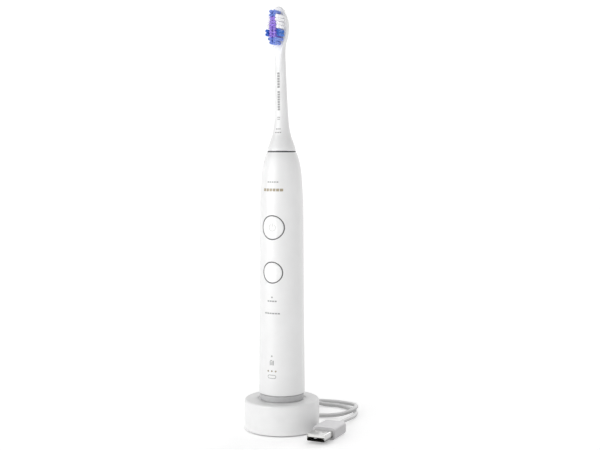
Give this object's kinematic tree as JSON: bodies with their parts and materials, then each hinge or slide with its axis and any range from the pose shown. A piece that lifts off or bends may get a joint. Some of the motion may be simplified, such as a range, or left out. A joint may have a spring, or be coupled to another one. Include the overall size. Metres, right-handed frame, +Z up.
{
  "type": "electric toothbrush on charger",
  "caption": "Sonic toothbrush with a round tapered handle and slim brush head, standing on a round charging base with a USB lead.",
  "frame": {"origin": "centre of the charging base's underside, on the surface it stands on", "axes": "+Z up along the handle's axis; the buttons and the bristles face -Y; +X to the right of someone facing the buttons"},
  "size_m": [0.0853, 0.1031, 0.2675],
  "materials": {
    "base_white": "white ABS, fine satin moulded surface",
    "base_floor": "white ABS, plain moulded",
    "foot_rubber": "pale grey soft pads",
    "board_green": "glass-fibre board with solder resist",
    "chip_black": "moulded chip packages and capacitors",
    "screw_steel": "zinc-plated screws",
    "copper_wire": "enamelled copper winding",
    "ferrite": "sintered ferrite rod",
    "lead_white": "white soft cable jacket, satin",
    "tie_white": "white moulded tie",
    "plug_white": "white overmould, satin",
    "plug_steel": "nickel-plated folded steel",
    "tongue_white": "white insulating tongue",
    "contact_gold": "gold-flashed contacts",
    "handle_white": "white ABS, satin to gloss",
    "band_grey": "mid-grey ABS end cap",
    "seal_dark": "dark grey elastomer",
    "ring_grey": "grey elastomer ring round each button",
    "frame_grey": "glass-filled nylon, grey",
    "cell_sleeve": "shrink-sleeved lithium cell",
    "nickel_strip": "spot-welded nickel strip",
    "lamp_lens": "small moulded lamp",
    "light_pipe": "translucent white light pipe",
    "switch_body": "push-switch can",
    "core_steel": "laminated motor core",
    "magnet_metal": "nickel-plated magnets",
    "foam_pad": "foam rubber pad",
    "spring_steel": "hardened spring steel",
    "shaft_steel": "ground stainless steel",
    "bush_bronze": "sintered bronze bush",
    "button_white": "white soft-touch cap",
    "head_white": "white polypropylene, gloss",
    "bristle_white": "white nylon filament",
    "bristle_violet": "violet nylon filament",
    "bristle_blue": "blue nylon filament",
    "bristle_pale_blue": "periwinkle nylon filament",
    "tag_foil": "foil antenna on film"
  },
  "bodies": {
    "charger": {"base_housing": "base_white", "base_plate": "base_floor", "foot_pads": "foot_rubber", "base_board": "board_green", "base_board_parts": "chip_black", "base_board_screws": "screw_steel", "base_coil": "copper_wire", "base_core": "ferrite", "lead_gland": "lead_white", "lead_coil": "lead_white", "lead_tie": "tie_white", "lead_from_base": "lead_white", "lead_to_plug": "lead_white", "plug_body": "plug_white", "plug_shell": "plug_steel", "plug_tongue": "tongue_white", "plug_contacts": "contact_gold"},
    "handle": {"handle_housing": "handle_white", "nose_ring": "seal_dark", "end_cap": "band_grey", "end_seal": "seal_dark", "handle_coil": "copper_wire", "frame": "frame_grey", "battery": "cell_sleeve", "battery_tabs": "nickel_strip", "main_board": "board_green", "board_parts": "chip_black", "board_screws": "screw_steel", "lamps": "lamp_lens", "light_pipes": "light_pipe", "switches": "switch_body", "stator": "core_steel", "drive_coil": "copper_wire", "damper": "foam_pad", "springs": "spring_steel", "spring_clamp": "frame_grey", "shaft_bush": "bush_bronze", "shaft_seal": "seal_dark", "power_button_ring": "ring_grey", "mode_button_ring": "ring_grey"},
    "power_button": {"power_button": "button_white", "power_plunger": "switch_body"},
    "mode_button": {"mode_button": "button_white", "mode_plunger": "switch_body"},
    "drive_train": {"drive_shaft": "shaft_steel", "spring_hub": "frame_grey", "magnet_carrier": "core_steel", "magnets": "magnet_metal"},
    "brush_head": {"brush_body": "head_white", "shaft_socket": "frame_grey", "socket_clip": "spring_steel", "head_tag": "tag_foil", "tuft_anchors": "nickel_strip", "bristles_white": "bristle_white", "bristles_violet": "bristle_violet", "bristles_blue": "bristle_blue", "bristles_pale_blue": "bristle_pale_blue"}
  },
  "joints": [
    {"name": "handle_lift", "type": "slide", "parent": "charger", "child": "handle", "axis": [0, 0, 1], "range_m": [0, 0.03]},
    {"name": "shaft_swing", "type": "hinge", "parent": "handle", "child": "drive_train", "pos_m": [0, 0, 0.16], "axis": [0, 0, 1], "range_deg": [-5, 5], "stiffness_Nm_per_rad": 0.5},
    {"name": "brush_head_pull", "type": "slide", "parent": "drive_train", "child": "brush_head", "axis": [0, 0, 1], "range_m": [0, 0.024]},
    {"name": "power_button_press", "type": "slide", "parent": "handle", "child": "power_button", "axis": [0, 1, 0], "range_m": [0, 0.0005], "stiffness_N_per_m": 2000},
    {"name": "mode_button_press", "type": "slide", "parent": "handle", "child": "mode_button", "axis": [0, 1, 0], "range_m": [0, 0.0005], "stiffness_N_per_m": 2000}
  ]
}
